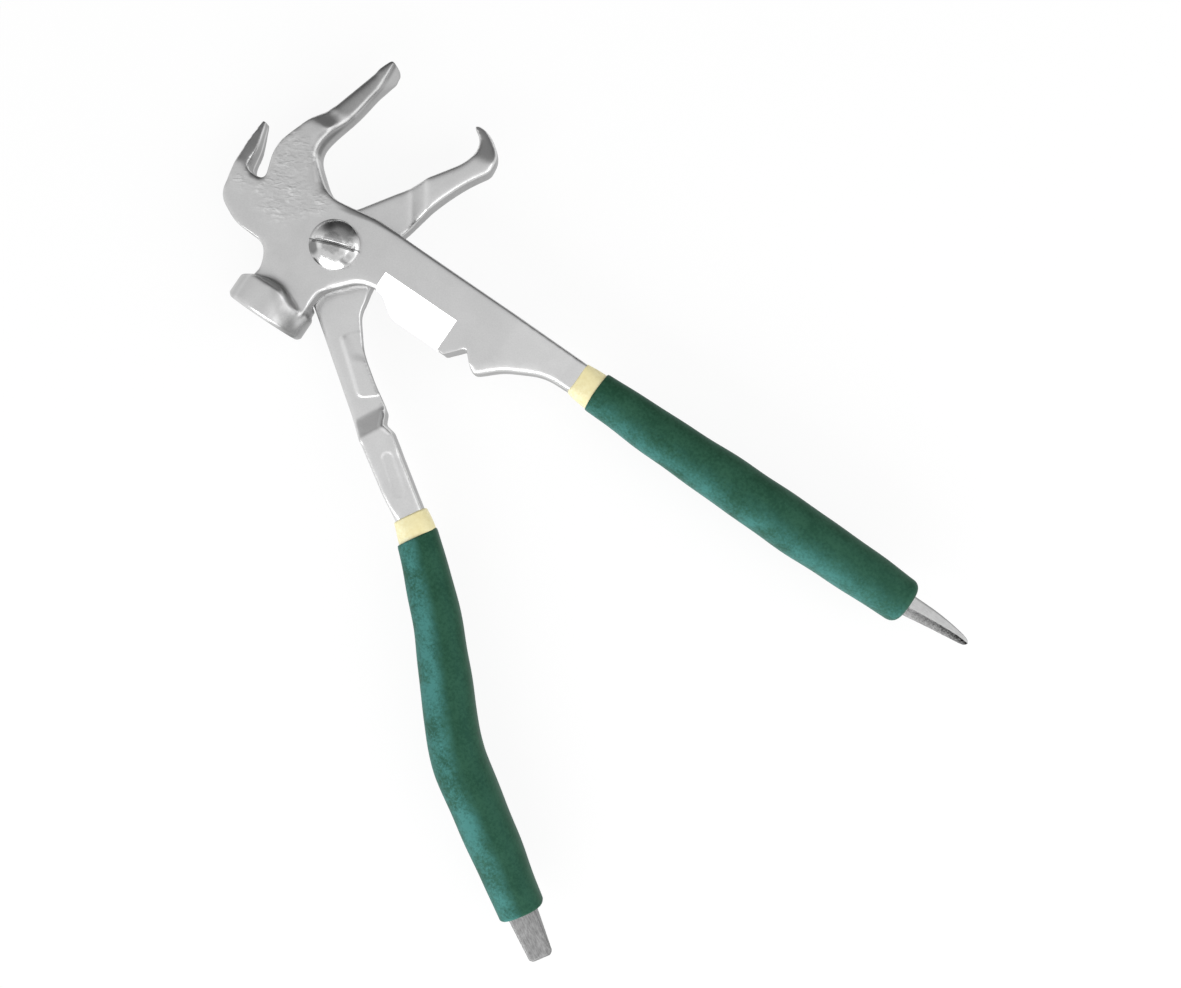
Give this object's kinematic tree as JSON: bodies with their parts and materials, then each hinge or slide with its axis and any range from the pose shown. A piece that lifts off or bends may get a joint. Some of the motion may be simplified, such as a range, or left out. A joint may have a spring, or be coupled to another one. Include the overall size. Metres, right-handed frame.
{
  "type": "wheel weight pliers",
  "caption": "Wheel weight pliers with a hammer head, claw, hooked jaws and cutter on two levers that swing on a screw, with dipped grips, a pick and a driver blade.",
  "frame": {"origin": "on the pivot axis, in the outer face of the nut, which the tool lies on", "axes": "+Z along the pivot screw from its nut to its head, +X along the hammer lever's handle, +Y out of the jaws"},
  "size_m": [0.2624, 0.1993, 0.0252],
  "materials": {
    "forged_steel": "satin plated forging",
    "screw_steel": "bright plated",
    "cream_plastic": "dipped, satin",
    "green_plastic": "dipped, lightly mottled"
  },
  "bodies": {
    "hammer_side": {"hammer_lever": "forged_steel", "pivot_screw": "screw_steel", "pivot_washer": "screw_steel", "pivot_nut": "screw_steel", "hammer_grip_liner": "cream_plastic", "hammer_grip_sleeve": "green_plastic"},
    "jaw_side": {"jaw_lever": "forged_steel", "jaw_grip_liner": "cream_plastic", "jaw_grip_sleeve": "green_plastic"}
  },
  "joints": [
    {"name": "pivot", "type": "hinge", "parent": "hammer_side", "child": "jaw_side", "pos_m": [0, 0, 0.013], "axis": [0, 0, 1], "range_deg": [0, 27]}
  ]
}
